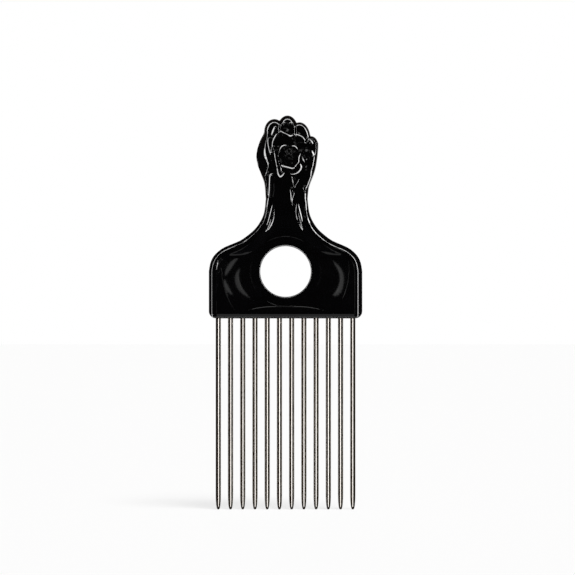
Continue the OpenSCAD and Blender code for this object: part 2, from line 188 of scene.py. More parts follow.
# the moulded handle, in millimetres from the centre of its hole
handle = {
    # the block: its rim, the slope inside the rim, the two bevels along its foot
    "blockWidth": 66, "blockHeight": 20.4, "holeHeight": 20.2, "cornerRadius": 3.2,
    "rimThick": 10.6, "rimWidth": 3.3, "footRimWidth": 1.9,
    "fallSlope": 0.54, "footFallSlope": 0.66, "fallFrom": -5, "fallOver": 10,
    "lipTall": 1.9, "lipSlope": 0.31, "footTall": 0.55, "footSlope": 1.8,
    # the rounding of the block's sides: how far in, share of the rim's height
    "leftRim": [(0, 0.45), (1.28, 0.851), (2.3, 0.957), (3.4, 1)],
    "rightRim": [(0, 0.45), (1.7, 0.883), (2.1, 0.949), (3.4, 1)],
    # the hole, the flat land round it with its small step, and the dish
    "holeRadius": 10.9, "holeRound": 0.8, "holeSides": 192, "holeRings": 9,
    "landRadius": 15.1, "landThick": 6.4, "landStep": 0.04, "landEdge": [(0.3, 0), (0.08, 0.02), (0, 0.1)],
    "dishRun": 12.4, "dishPower": 1.5,
    # shoulders, wrist and fist
    "shoulderHeight": 31.1, "wristWidth": 18.2, "wristThick": 10, "wristShift": 0.5,
    "fistHeight": 36, "fistWidth": 26.8, "fistThick": 15, "fistShift": 0.8, "fistStart": 0.3, "palmEnd": 0.7,
    "parting": 0.25, "blend": 0.4, "outlineStep": 0.4,
    # the rounding of the back's sides, which is wider at the thumb
    "sideTop": 6.2, "sideRun": 1.9, "sidePower": 0.65, "sideBlend": 0.3, "sideMost": 20,
    "thumbRun": 3.2, "thumbZ": 49.5, "thumbReach": 9, "thumbFull": 1.4, "backPasses": 4,
    # the grid: how many rows and columns, how close they lie at the lip, how much they crowd
    "columns": 168, "lipRows": 4, "sideRows": 23, "shoulderRows": 48, "wristRows": 50, "fistRows": 147,
    "guards": (-2, -0.3, 0.3, 2), "slopeStep": 0.03, "sideCrowd": 1.5, "shoulderCrowd": 0.75,
    "blockColumns": 1, "handColumns": 0.2, "topColumns": 0.6,
    # share of the shoulder's height, share of the way in from block to wrist
    "shoulder": [
        (0, 0), (0.12, 0.03), (0.21, 0.09), (0.29, 0.195), (0.335, 0.292), (0.375, 0.415),
        (0.415, 0.538), (0.46, 0.63), (0.57, 0.8), (0.68, 0.903), (0.8, 0.967), (1, 1),
    ],
    # share of the fist's height, share of the way out from wrist to fist
    "left": [
        (0, 0), (0.11, 0.07), (0.2, 0.19), (0.3, 0.5), (0.39, 0.81), (0.44, 0.92), (0.51, 1),
        (0.58, 0.93), (0.63, 0.79), (0.68, 0.6), (0.73, 0.33), (0.775, 0.18), (0.82, 0.16),
    ],
    "right": [
        (0, 0), (0.08, 0.05), (0.13, 0.11), (0.18, 0.24), (0.27, 0.51), (0.37, 0.74),
        (0.46, 0.87), (0.56, 0.97), (0.61, 1), (0.66, 1), (0.82, 1),
    ],
    # index to little: across, drop, half width, arch, reach below, thickness, then the front's edge: how far in,
    # how wide its chamfer at the top and at the sides
    "fingers": [
        (-0.209, 0.042, 0.164, 0.146, 0.2, 0.8, 1.42, 0.5, 0.5),
        (0.002, 0, 0.172, 0.183, 0.2, 0.86, 1.5, 0.6, 0.05),
        (0.194, 0.08, 0.181, 0.2, 0.14, 0.8, 1.15, 0.5, 0.5),
        (0.381, 0.247, 0.119, 0.119, 0.14, 0.76, 1.25, 0.1, 0.1),
    ],
    # the front's edge along the hand's sides: height, how far in, how wide its chamfer
    "leftFront": [
        (20, 1.0, 0.3), (24.6, 0.85, 0.4), (28, 0.9, 0.45), (31.3, 1.15, 0.45), (33.5, 1.2, 0.2), (36, 0.9, 0.1),
        (39, 0.9, 0.1), (41, 1.2, 0.1), (42.5, 2, 0.1), (44, 3.2, 0.1), (45.5, 4.2, 0.1), (46.8, 4.5, 0.6),
        (49.5, 4.0, 1.0), (52.2, 3.4, 0.7), (53.5, 3.1, 0.3), (55, 2.7, 0.25), (57.5, 1.9, 0.25),
        (59, 1.55, 0.35), (60.5, 1.42, 0.5),
    ],
    "rightFront": [
        (20, 1.1, 0.3), (24.6, 1.1, 0.4), (30, 1.0, 0.45), (34.8, 1.3, 0.5), (37.6, 0.85, 0.45),
        (40.8, 0.9, 0.45), (43.6, 1.45, 0.5), (47.4, 1.4, 0.45), (50, 1.35, 0.45), (51.5, 1.2, 0.3),
        (53, 1.1, 0.2), (56, 1.2, 0.2), (58, 1.25, 0.2),
    ],
    # every edge's chamfer has this slope, over a flank that is steeper; each line drops a little at the top
    "stepSlope": 0.88, "flank": 1.12, "lineDrop": 0.37, "furrowHalf": 0.36,
    "openBelow": 1.6, "topFrom": 0.6, "topOver": 0.3,
    # the wrist thickens into the fist: from, to, by how much
    "palmRise": (36, 46, 0.8),
    # soft masses: across, up, half width, reach up, reach down, height
    "masses": [(1, 51, 10.5, 10, 12, 0.6), (-1, 55, 13, 14, 18, 0.3), (1.7, 49.4, 4, 3.6, 3.8, 0.8)],
    # the nail and the fold below it: across, up, half width, half height, depth
    "nails": [(1.5, 49.7, 2.0, 1.1, 0.12), (1.5, 47.3, 1.9, 0.9, 0.1)],
    "nailSquare": 4, "nailRim": 1.3, "nailFade": 0.6,
    # lines drawn over an enlarged view, on its own grid: across from the left, down from the top
    "sketchUnit": 0.03146, "sketchLeft": -19.52, "sketchTop": 73.53, "sketchSteps": 6,
    # furrows between the fingers
    "furrows": [
        [(546, 262), (541, 330), (541, 380), (541, 425)],
        [(760, 295), (757, 350), (756, 400), (752, 455)],
        [(957, 484), (935, 510), (905, 550), (892, 572)],
    ],
    # creases, high on the left of the way they run: reach of the high side in millimetres, slope to meet along
    # the line, then across, down, width
    "sweeps": 3, "leastSlope": 0.1, "mostSlope": 1.4, "boxReach": 2, "fadeReach": 2.5, "sideKeep": 0.8,
    "creases": [
        # the top of the curled fingers, where the knuckles bend over them
        (2.4, 0.88, [
            (888, 575, 0.2), (880, 540, 0.45), (850, 503, 0.5), (800, 482, 0.5), (755, 466, 0.5),
            (725, 476, 0.5), (690, 492, 0.7), (650, 474, 0.5), (600, 450, 0.5), (560, 428, 0.5),
            (545, 415, 0.2),
        ]),
        # the side of the thumb, down to its round foot
        (2.4, 0.88, [
            (545, 432, 0.2), (520, 448, 0.35), (490, 480, 0.5), (455, 540, 0.6), (440, 600, 0.45),
            (447, 650, 0.4), (465, 700, 0.5), (480, 800, 0.5), (500, 900, 0.5), (515, 990, 0.6),
            (528, 1028, 0.7), (547, 1046, 0.75), (575, 1032, 0.7), (600, 998, 0.5), (606, 985, 0.1),
        ]),
        (1.2, 0.88, [(585, 1000, 0.1), (572, 985, 0.3), (557, 945, 0.35), (555, 905, 0.35), (558, 890, 0.2)]),
        # the thumb pad, round its left and lower edge, then up its right one
        (2.4, 0.88, [
            (672, 634, 0.2), (640, 624, 0.3), (610, 618, 0.5), (575, 630, 0.6), (552, 656, 0.55),
            (540, 690, 0.4), (525, 740, 0.36), (521, 790, 0.36), (530, 850, 0.36), (543, 878, 0.4),
            (565, 893, 0.6), (600, 906, 0.65), (650, 917, 0.65), (715, 934, 0.65), (745, 918, 0.55),
            (772, 882, 0.5), (798, 850, 0.5), (802, 800, 0.5), (812, 760, 0.5), (828, 724, 0.3),
            (834, 710, 0.1),
        ]),
        (2.0, 0.88, [
            (790, 720, 0.1), (784, 690, 0.25), (776, 658, 0.5), (750, 632, 0.6), (712, 628, 0.45),
            (674, 640, 0),
        ]),
        # the cushion under the pad
        (2.0, 0.88, [
            (655, 984, 0), (695, 1008, 0.45), (728, 1014, 0.6), (775, 998, 0.6), (818, 960, 0.7),
            (836, 915, 0.75), (825, 880, 0.5), (808, 858, 0.1),
        ]),
        # the wedge between index and thumb
        (1.5, 0.88, [
            (387, 508, 0.3), (379, 550, 0.45), (381, 600, 0.5), (392, 660, 0.5), (404, 712, 0.45),
            (411, 732, 0.1),
        ]),
        (1.5, 0.88, [(438, 596, 0), (431, 640, 0.3), (421, 700, 0.45), (413, 735, 0.4), (410, 750, 0)]),
        (1.2, 0.88, [(416, 740, 0.1), (424, 800, 0.25), (434, 880, 0.25), (446, 960, 0.15)]),
        # a fold on the index finger, and the inner arch of the middle one
        (1.6, 0.88, [(474, 356, 0.2), (462, 388, 0.7), (446, 430, 0.85), (433, 466, 0.6), (427, 488, 0.1)]),
        (1.4, 0.88, [(592, 296, 0.2), (587, 318, 0.5), (592, 335, 0.4), (602, 350, 0.1)]),
        (1.4, 0.88, [(712, 354, 0.1), (705, 336, 0.4), (706, 315, 0.5), (700, 298, 0.2)]),
        # the arches of the little finger and its lower joint
        (1.6, 0.88, [
            (996, 612, 0.1), (986, 578, 0.6), (970, 556, 0.6), (945, 544, 0.55), (926, 556, 0.45),
            (917, 578, 0.2),
        ]),
        (1.0, 0.88, [(914, 580, 0.1), (904, 562, 0.4), (892, 574, 0.4), (882, 604, 0.1)]),
        (1.2, 0.88, [(1024, 800, 0), (1010, 758, 0.5), (992, 716, 0.75), (972, 676, 0)]),
        (1.6, 0.88, [(842, 752, 0.1), (852, 790, 0.5), (868, 826, 0.55), (886, 856, 0.1)]),
        (1.0, 0.88, [(892, 764, 0.1), (886, 790, 0.3), (884, 812, 0.1)]),
        # lines of the palm
        (2.0, 0.88, [
            (704, 1012, 0), (711, 1060, 0.5), (722, 1120, 0.55), (740, 1192, 0.45), (762, 1160, 0.25),
            (800, 1095, 0.25), (860, 1000, 0),
        ]),
        (1.6, 0.88, [
            (682, 1190, 0.1), (689, 1260, 0.45), (697, 1330, 0.5), (704, 1400, 0.5), (716, 1345, 0.4),
            (738, 1280, 0.35), (744, 1256, 0.1),
        ]),
        # the inner edge of the block's left rim
        (1.2, 1.15, [
            (-282, 2140, 0), (-299, 2195, 0.45), (-311, 2260, 0.45), (-321, 2330, 0.3), (-330, 2450, 0.25),
            (-338, 2640, 0.25), (-340, 2720, 0),
        ]),
        # where the fingers and the base of the thumb turn under
        (1.5, 0.4, [(702, 440, 0), (662, 420, 1.2), (624, 402, 1.2), (588, 388, 0)]),
        (1.2, 0.4, [(858, 486, 0), (824, 468, 0.9), (792, 452, 0.9), (766, 436, 0)]),
        (1.4, 0.4, [(982, 716, 0), (948, 702, 1.2), (905, 686, 1.3), (864, 668, 0)]),
        (1.0, 0.4, [(944, 926, 0), (925, 920, 0.8), (898, 908, 1.0), (868, 892, 0)]),
        (1.2, 0.4, [(424, 1000, 0), (390, 986, 0.9), (350, 970, 0.9), (312, 950, 0)]),
        # the heel of the palm, from its corner down the wrist
        (1.4, 0.88, [
            (470, 1001, 0), (442, 1005, 0.4), (420, 1011, 0.65), (407, 1026, 0.7), (403, 1070, 0.55),
            (400, 1150, 0.5), (397, 1230, 0.5), (391, 1300, 0.45), (386, 1340, 0.4), (380, 1375, 0),
        ]),
        (1.6, 0.88, [(860, 1165, 0.1), (862, 1205, 0.35), (872, 1245, 0.3), (882, 1275, 0.1)]),
        # the two cords of the wrist
        (1.8, 0.88, [
            (447, 1396, 0.1), (430, 1470, 0.4), (408, 1560, 0.45), (384, 1650, 0.5), (362, 1730, 0.55),
            (360, 1775, 0.55), (380, 1772, 0.5), (415, 1722, 0.45), (447, 1652, 0.4), (465, 1575, 0.4),
            (463, 1490, 0.35), (451, 1405, 0.1),
        ]),
        (1.2, 0.88, [
            (782, 1350, 0), (768, 1440, 0.34), (762, 1530, 0.36), (778, 1620, 0.36), (812, 1700, 0.36),
            (850, 1765, 0.4), (856, 1690, 0.4), (844, 1620, 0.5), (824, 1538, 0.55), (806, 1462, 0.5),
            (788, 1370, 0),
        ]),
    ],
    # domes of the back of the hand, knuckles first: across, up, half width, reach up, reach down, lean,
    # thickness, squareness
    "back": [
        (-0.2, 0.66, 0.12, 0.12, 0.16, 0, 0.82, 2),
        (0.002, 0.68, 0.12, 0.12, 0.18, 0, 0.86, 2),
        (0.18, 0.62, 0.12, 0.12, 0.18, 0, 0.82, 2),
        (0.345, 0.54, 0.11, 0.12, 0.16, 0, 0.76, 2),
        (0, 0.42, 0.4, 0.26, 0.42, 0, 0.74, 2.6),
        (-0.36, 0.44, 0.13, 0.26, 0.24, 8, 0.72, 2),
    ],
}
handle["bottomZ"] = -handle["holeHeight"]
handle["sideZ"] = handle["bottomZ"] + handle["blockHeight"]
handle["wristZ"] = handle["sideZ"] + handle["shoulderHeight"]
handle["topZ"] = handle["wristZ"] + handle["fistHeight"]
handle["dishDepth"] = (handle["rimThick"] - handle["landThick"]) / 2 - handle["landStep"]
handle["fistStartZ"] = handle["wristZ"] + handle["fistStart"] * handle["fistHeight"]


def mix(a, b, t):
    return a + (b - a) * t


def ease(t):
    t = np.clip(t, 0, 1)
    return t * t * (3 - 2 * t)


def curveThrough(points, at):
    # a smooth curve through points given as place and value
    places, values = np.array(points, float).T
    last = len(places) - 1
    before = np.maximum(np.arange(last + 1) - 1, 0)
    after = np.minimum(np.arange(last + 1) + 1, last)
    slopes = (values[after] - values[before]) / (places[after] - places[before])
    i = np.clip(np.searchsorted(places, at, side="right") - 1, 0, last - 1)
    gap = places[i + 1] - places[i]
    t = np.clip((at - places[i]) / gap, 0, 1)
    rise = (values[i + 1] - values[i]) * t * t * (3 - 2 * t)
    return values[i] + rise + gap * slopes[i] * t * (1 - t) ** 2 - gap * slopes[i + 1] * t * t * (1 - t)


def plainEdge(h, z, side):
    # the outline's x at a height, with the block's foot still square
    block, wrist = side * h["blockWidth"] / 2, h["wristShift"] + side * h["wristWidth"] / 2
    fist = h["fistShift"] + side * h["fistWidth"] / 2
    shoulder = mix(block, wrist, curveThrough(h["shoulder"], (z - h["sideZ"]) / h["shoulderHeight"]))
    hand = curveThrough(h["left"] if side < 0 else h["right"], (z - h["wristZ"]) / h["fistHeight"])
    return np.where(z <= h["sideZ"], block, np.where(z <= h["wristZ"], shoulder, mix(wrist, fist, hand)))


def edgeAt(h, z, side):
    # the same with the foot's corners rounded
    up = np.clip(z - h["bottomZ"], 0, h["cornerRadius"])
    return plainEdge(h, z, side) - side * (h["cornerRadius"] - np.sqrt(up * (2 * h["cornerRadius"] - up)))


def fingerPlace(h, finger):
    # middle across and up, half width, and how tall its round top is
    across, drop, half, arch = finger[:4]
    return (h["fistShift"] + across * h["fistWidth"], h["topZ"] - (drop + arch) * h["fistHeight"],
            half * h["fistWidth"], arch * h["fistHeight"])


def knuckleLine(h, x):
    # the top of the hand, as the highest of the fingers' arches
    line = np.full(np.shape(x), -np.inf)
    for finger in h["fingers"]:
        midX, midZ, half, arch = fingerPlace(h, finger)
        out = (x - midX) / half
        here = midZ + arch * np.sqrt(np.clip(1 - out * out, 0, None))
        line = np.where(np.abs(out) <= 1 + 1e-6, np.maximum(line, here), line)
    return line


def dome(x, z, midX, midZ, half, up, down, lean, high, square):
    # a rounded lump, leaning by some degrees
    turn = math.radians(lean)
    dx = (x - midX) * math.cos(turn) + (z - midZ) * math.sin(turn)
    dz = (z - midZ) * math.cos(turn) - (x - midX) * math.sin(turn)
    out = (np.abs(dx) / half) ** square + (np.abs(dz) / np.where(dz > 0, up, down)) ** square
    return high * np.sqrt(np.clip(1 - out, 0, None))


def smoothPath(points, steps):
    # a soft curve through the points, with this many steps from each to the next
    points = np.array(points, float)
    last = len(points) - 1
    curve = []
    for i in range(last):
        near = [points[min(max(i + k, 0), last)] for k in (-1, 0, 1, 2)]
        for t in np.arange(steps) / steps:
            curve.append(near[1] + 0.5 * t * (
                near[2] - near[0] + t * (2 * near[0] - 5 * near[1] + 4 * near[2] - near[3]
                                         + t * (3 * near[1] - near[0] - 3 * near[2] + near[3]))))
    return np.array(curve + [points[-1]])


def sketchPath(h, points):
    path = smoothPath(points, h["sketchSteps"])
    path[:, 0] = h["sketchLeft"] + h["sketchUnit"] * path[:, 0]
    path[:, 1] = h["sketchTop"] - h["sketchUnit"] * path[:, 1]
    return path


def nearestOn(path, x, z):
    # distance to the path, counted up on its left, then the path's other columns at the nearest place
    start, way = path[:-1], np.diff(path, axis=0)
    toX, toZ = x[..., None] - start[:, 0], z[..., None] - start[:, 1]
    along = np.clip((toX * way[:, 0] + toZ * way[:, 1]) / (way[:, 0] ** 2 + way[:, 1] ** 2), 0, 1)
    gap = np.hypot(toX - along * way[:, 0], toZ - along * way[:, 1])
    nearest = gap.argmin(axis=-1)
    gap, along = (np.take_along_axis(values, nearest[..., None], -1)[..., 0] for values in (gap, along))
    turn = (z - start[nearest, 1]) * way[nearest, 0] - (x - start[nearest, 0]) * way[nearest, 1]
    others = [start[nearest, k] + along * way[nearest, k] for k in range(2, path.shape[1])]
    return [np.where(turn < 0, -gap, gap)] + others


def handHeight(h, x, z, forms):
    # the fingers and the given domes, blended into one skin over the wrist
    palmTop = h["wristZ"] + h["palmEnd"] * h["fistHeight"]
    reach = np.clip((z - h["fistStartZ"]) / (palmTop - h["fistStartZ"]), 0, 1)
    heights = [h["wristThick"] / 2 * np.sqrt(1 - reach * reach)]
    for finger in h["fingers"]:
        midX, midZ, half, arch = fingerPlace(h, finger)
        below, thick = finger[4] * h["fistHeight"], finger[5] * h["fistThick"] / 2
        heights.append(dome(x, z, midX, midZ, half, arch, below, 0, thick, 2))
    for across, up, half, reachUp, reachDown, lean, thick, square in forms:
        heights.append(dome(
            x, z, h["fistShift"] + across * h["fistWidth"], h["wristZ"] + up * h["fistHeight"],
            half * h["fistWidth"], reachUp * h["fistHeight"], reachDown * h["fistHeight"], lean,
            thick * h["fistThick"] / 2, square))
    return h["blend"] * np.log(sum(np.exp(height / h["blend"]) for height in heights))


def sideGap(h, x, z, side):
    # how far inside the outline, near enough where it is fairly straight
    step = h["parting"]
    lean = (plainEdge(h, z + step, side) - plainEdge(h, z - step, side)) / (2 * step)
    return side * (plainEdge(h, z, side) - x) / np.sqrt(1 + lean * lean)


def sideStep(h, height, gap, inset, wide, steep=1):
    # steep up from the outline, then a chamfer of one slope that catches one line of light, then level
    foot = inset - wide / 2
    low = height - h["stepSlope"] / steep * wide
    power = np.maximum(h["sidePower"], h["flank"] * foot / low)
    top = height - h["stepSlope"] / steep * np.clip(foot + wide - gap, 0, wide)
    return top * np.clip(gap / foot, 0, 1) ** power


def fingerGap(h, x, z, finger):
    # how far inside the finger's round top, then where its front's edge lies and how wide the chamfer is
    midX, midZ, half, arch = fingerPlace(h, finger)
    dx, dz = np.abs(x - midX) / half, np.clip(z - midZ, 0, None) / arch
    out = np.hypot(dx, dz)
    steep = np.hypot(dx / half, dz / arch) / np.maximum(out, 0.001)
    gap = (1 - out) / np.maximum(steep, 0.1) + h["openBelow"] * np.clip(midZ - z, 0, None)
    upward = dz / np.maximum(out, 0.001)
    wide = mix(finger[8], finger[7], ease((upward - h["topFrom"]) / h["topOver"]))
    return np.clip(gap, 0, None), finger[6] + h["lineDrop"] * upward, wide


def frontHand(h, x, z):
    # the palm side: one soft cushion, trimmed at the fingers, the sides and the furrows
    low, high, more = h["palmRise"]
    height = h["wristThick"] / 2 + more * ease((z - low) / (high - low))
    for midX, midZ, half, up, down, thick in h["masses"]:
        out = ((x - midX) / half) ** 2 + ((z - midZ) / np.where(z > midZ, up, down)) ** 2
        height = height + thick * np.clip(1 - out, 0, None) ** 2
    for midX, midZ, half, tall, depth in h["nails"]:
        out = (np.abs(x - midX) / half) ** h["nailSquare"] + (np.abs(z - midZ) / tall) ** h["nailSquare"]
        height = height - depth * ease((h["nailRim"] - out) / h["nailFade"])
    trimmed = np.maximum.reduce([sideStep(h, height, *fingerGap(h, x, z, finger)) for finger in h["fingers"]])
    step = h["parting"]
    for side, name in ((-1, "leftFront"), (1, "rightFront")):
        heights, insets, widths = np.array(h[name]).T

        def past(placeX, placeZ):
            return sideGap(h, placeX, placeZ, side) - np.interp(placeZ + h["lineDrop"], heights, insets)

        rise = past(x + step, z) - past(x - step, z), past(x, z + step) - past(x, z - step)
        steep = np.hypot(*rise) / (2 * step)
        inset, wide = (np.interp(z + h["lineDrop"], heights, values) for values in (insets, widths))
        gap = np.clip(sideGap(h, x, z, side), 0, None)
        trimmed = np.minimum(trimmed, sideStep(h, height, gap, inset, wide, steep))
    inset, half = h["fingers"][0][6], h["furrowHalf"]
    for furrow in h["furrows"]:
        gap = np.abs(nearestOn(sketchPath(h, furrow), x, z)[0])
        trimmed = np.minimum(trimmed, sideStep(h, height, gap + inset - half, inset, half))
    return trimmed


def backHand(h, x, z):
    # the back of the hand, with its sides rounded off
    across = np.clip(np.minimum(sideGap(h, x, z, -1), sideGap(h, x, z, 1)), 0, None)
    bare = handHeight(h, x, z, h["back"])
    thumb = ease((h["thumbReach"] - np.abs(z - h["thumbZ"])) / h["thumbReach"] * h["thumbFull"]) * (x < 0)
    run = mix(h["sideRun"], h["thumbRun"], thumb)
    steep = h["sideTop"] * (np.clip(across, 1e-4, None) / run) ** h["sidePower"]
    k = h["sideBlend"]
    cut = -k * np.log(np.exp(-bare / k) + np.exp(-np.minimum(steep, h["sideMost"]) / k))
    little = fingerPlace(h, h["fingers"][3])
    return mix(cut, bare, ease((z - little[1]) / little[3]))


def outline(h, side):
    # the outline up to a little way past the wrist
    z = np.arange(h["bottomZ"], h["wristZ"] + h["wristWidth"] / 2, h["outlineStep"])
    return np.column_stack([plainEdge(h, z, side), z])


def handleHeight(h, x, z, handPart):
    # half the handle's thickness: the block below, the hand above
    across = np.clip(np.minimum(sideGap(h, x, z, -1), sideGap(h, x, z, 1)), 0, None)
    up = z - h["bottomZ"]
    rise = up + h["rimWidth"] - h["footRimWidth"]      # the rim is narrower along the foot
    hand = ease((z - h["sideZ"] - h["shoulderHeight"] / 2) / (h["shoulderHeight"] / 2))
    # the dished face of the block, which falls away inside its rim at one slope
    away = np.hypot(x, z) - h["landRadius"]
    out = np.clip(away / h["dishRun"], 0, 1)
    land = h["landThick"] / 2 + h["landStep"]
    fall = mix(h["footFallSlope"], h["fallSlope"], ease((z - h["fallFrom"]) / h["fallOver"]))
    low = z < h["wristZ"]
    rim = across.copy()
    gaps = [nearestOn(outline(h, side), x[low], z[low])[0] for side in (-1, 1)]
    rim[low] = np.minimum(*np.abs(gaps))
    bevel = h["rimThick"] / 2 - fall * np.clip(np.minimum(rim, rise) - h["rimWidth"], 0, None)
    block = np.maximum(bevel, land + h["dishDepth"] * out ** h["dishPower"])
    block = np.minimum(block, land + fall * np.clip(away, 0, None))
    # the rounding of the sides, then the two bevels of the lip where the tines come out
    left, right = (np.interp(rim, *np.array(h[name]).T) for name in ("leftRim", "rightRim"))
    rounded = np.where(x < 0, left, right)
    lip = h["lipSlope"] * np.clip(h["lipTall"] - up, 0, None)
    lip = lip + h["footSlope"] * np.clip(h["footTall"] - up, 0, None)
    return np.maximum(h["parting"], mix((block - lip) * rounded, handPart(h, x, z), hand))


def creaseHeight(h, reach, path, x, z):
    # a step up across the line, which fades out on its high side
    left, wide, slope = nearestOn(path, x, z)
    side = np.minimum(sideGap(h, x, z, -1), sideGap(h, x, z, 1))
    fade = np.exp(-(np.clip(left - wide / 2, 0, None) / reach) ** 2) * ease(side / h["sideKeep"])
    return slope * np.clip(left + wide / 2, 0, wide) * fade


def slopesAt(h, heightAt, x, z):
    # how steeply the surface climbs to the right and upwards
    step = h["slopeStep"]
    here = heightAt(x, z)
    return np.array([heightAt(x + step, z) - here, heightAt(x, z + step) - here]) / step


def settleCreases(h):
    # each crease is made just as steep as brings the slope along it to its target, with all others in place

    def bare(x, z):
        return handleHeight(h, x, z, frontHand)

    made = []
    for reach, target, points in h["creases"]:
        path = sketchPath(h, points)
        path[:, 2] = np.clip(path[:, 2], 0, None)
        path[[0, -1], 2] = 0
        path = np.column_stack([path, np.full(len(path), target)])
        way = np.gradient(path[:, :2], axis=0)
        left = np.array([-way[:, 1], way[:, 0]]) / np.hypot(way[:, 0], way[:, 1])
        base = slopesAt(h, bare, path[:, 0], path[:, 1])
        box = path.min(axis=0)[:2] - h["boxReach"] * reach, path.max(axis=0)[:2] + h["boxReach"] * reach
        made.append((reach, target, path, left, base, box))
    for _ in range(h["sweeps"]):
        for reach, target, path, left, base, (low, high) in made:
            met = base.copy()
            for otherReach, _, other, _, _, (otherLow, otherHigh) in made:
                if other is not path and (low < otherHigh).all() and (otherLow < high).all():
                    step = partial(creaseHeight, h, otherReach, other)
                    met += slopesAt(h, step, path[:, 0], path[:, 1])
            up = (met * left).sum(axis=0)
            spare = np.clip(up ** 2 - (met ** 2).sum(axis=0) + target ** 2, 0, None)
            slope = np.pad(np.clip(np.sqrt(spare) - up, h["leastSlope"], h["mostSlope"]), 1, mode="edge")
            path[:, 3] = (slope[:-2] + 2 * slope[1:-1] + slope[2:]) / 4
    return [(reach, path) for reach, _, path, *_ in made]


def frontHeight(h, x, z):
    height = handleHeight(h, x, z, frontHand)
    for reach, path in settleCreases(h):
        far = h["fadeReach"] * reach
        low, high = path.min(axis=0)[:2] - far, path.max(axis=0)[:2] + far
        near = (x > low[0]) & (x < high[0]) & (z > low[1]) & (z < high[1])
        height[near] += creaseHeight(h, reach, path, x[near], z[near])
    return height


def columnShare(h, i, crowd):
    # columns are even at a crowd of 0 and lie closest at the edges at 1
    t = i / h["columns"]
    return mix(t, (1 - np.cos(np.pi * t)) / 2, crowd)


def handlePlan(h):
    # x and z of every grid point: rows across the body, then a patch up to the knuckles
    i = np.arange(h["columns"] + 1)
    foot, top = h["footTall"], h["lipTall"]
    edges = [edge + guard * h["slopeStep"] for edge in (foot, top) for guard in h["guards"]]
    lip = h["bottomZ"] + np.sort([0, foot / 2, *edges, *np.linspace(foot, top, h["lipRows"])[1:-1]])
    crowded = (np.arange(1, h["sideRows"]) / h["sideRows"]) ** h["sideCrowd"]
    sides = mix(h["bottomZ"] + top, h["sideZ"], crowded)
    up = np.linspace(0, 1, h["shoulderRows"], endpoint=False)
    crowded = up * (1 + h["shoulderCrowd"] * (1 - up))      # towards the wrist
    shoulders = mix(h["sideZ"], h["wristZ"], crowded)
    wrist = np.linspace(h["wristZ"], h["fistStartZ"], h["wristRows"], endpoint=False)
    z = np.concatenate([lip, sides, shoulders, wrist])[:, None]
    crowd = mix(h["blockColumns"], h["handColumns"], ease((z - h["sideZ"]) / h["shoulderHeight"]))
    share = columnShare(h, i, crowd)
    body = np.stack([mix(edgeAt(h, z, -1), edgeAt(h, z, 1), share), z + 0 * share], axis=-1)
    first, last = fingerPlace(h, h["fingers"][0]), fingerPlace(h, h["fingers"][3])
    firstX, lastX = first[0] - first[2], last[0] + last[2]
    t = np.linspace(0, 1, h["fistRows"])[:, None]
    leftZ, rightZ = mix(h["fistStartZ"], first[1], t), mix(h["fistStartZ"], last[1], t)
    leftX = np.where(t < 1, edgeAt(h, leftZ, -1), firstX)
    rightX = np.where(t < 1, edgeAt(h, rightZ, 1), lastX)
    s, topX = columnShare(h, i, h["handColumns"]), mix(firstX, lastX, columnShare(h, i, h["topColumns"]))
    lowX, lowZ = mix(leftX[0], rightX[0], s), h["fistStartZ"] + 0 * s
    flatX = mix(mix(leftX[0], rightX[0], s), mix(leftX[-1], rightX[-1], s), t)
    flatZ = mix(lowZ, mix(leftZ[-1], rightZ[-1], s), t)
    fistX = mix(lowX, topX, t) + mix(leftX, rightX, s) - flatX
    fistZ = mix(lowZ, knuckleLine(h, topX), t) + mix(leftZ, rightZ, s) - flatZ
    plan = np.concatenate([body, np.stack([fistX, fistZ], axis=-1)])
    return plan[..., 0], plan[..., 1]


def soften(height, passes):
    # small fillets where the back's forms meet, as a mould has
    for _ in range(passes):
        wide = np.pad(height, 1, mode="edge")
        across = (wide[1:-1, :-2] + 2 * wide[1:-1, 1:-1] + wide[1:-1, 2:]) / 4
        tall = np.pad(across, ((1, 1), (0, 0)), mode="edge")
        height = (tall[:-2] + 2 * tall[1:-1] + tall[2:]) / 4
    return height


def meshPiece(name, bm, material):
    # a finished piece at the origin, from its bmesh
    mesh = bpy.data.meshes.new(name)
    bm.to_mesh(mesh)
    bm.free()
    mesh.shade_smooth()
    piece = bpy.data.objects.new(name, mesh)
    bpy.context.scene.collection.objects.link(piece)
    mesh.materials.append(material)
    return piece


def spunProfile(profile, steps):
    # a closed lathe shape from points given as radius and height
    bm = bmesh.new()
    made = [bm.verts.new((radius, 0, height)) for radius, height in profile]
    edges = [bm.edges.new(pair) for pair in zip(made, made[1:])]
    bmesh.ops.spin(
        bm, geom=made + edges, cent=(0, 0, 0), axis=(0, 0, 1), angle=2 * math.pi, steps=steps, use_merge=True,
    )
    bmesh.ops.remove_doubles(bm, verts=bm.verts, dist=1e-7)
    bmesh.ops.recalc_face_normals(bm, faces=bm.faces)
    return bm


def holeCutter(h):
    # bores the hole, rounds its edge and planes the land flat, on both faces
    wall, edge, face = h["holeRadius"], h["holeRound"], h["landThick"] / 2
    turns = np.linspace(0, math.pi / 2, h["holeRings"])
    upper = [(wall + edge - edge * math.cos(a), face - edge + edge * math.sin(a)) for a in turns]
    upper += [(h["landRadius"] - inward, face + up) for inward, up in h["landEdge"]]
    upper += [(h["landRadius"], h["rimThick"])]
    profile = [(0, -h["rimThick"])] + [(r, -y) for r, y in reversed(upper)] + upper + [(0, h["rimThick"])]
    bm = spunProfile([(r * mm, y * mm) for r, y in profile], h["holeSides"])
    bmesh.ops.rotate(bm, verts=bm.verts, cent=(0, 0, 0), matrix=Matrix.Rotation(math.pi / 2, 3, "X"))
    return meshPiece("holeCutter", bm, bpy.data.materials["blackPlastic"])


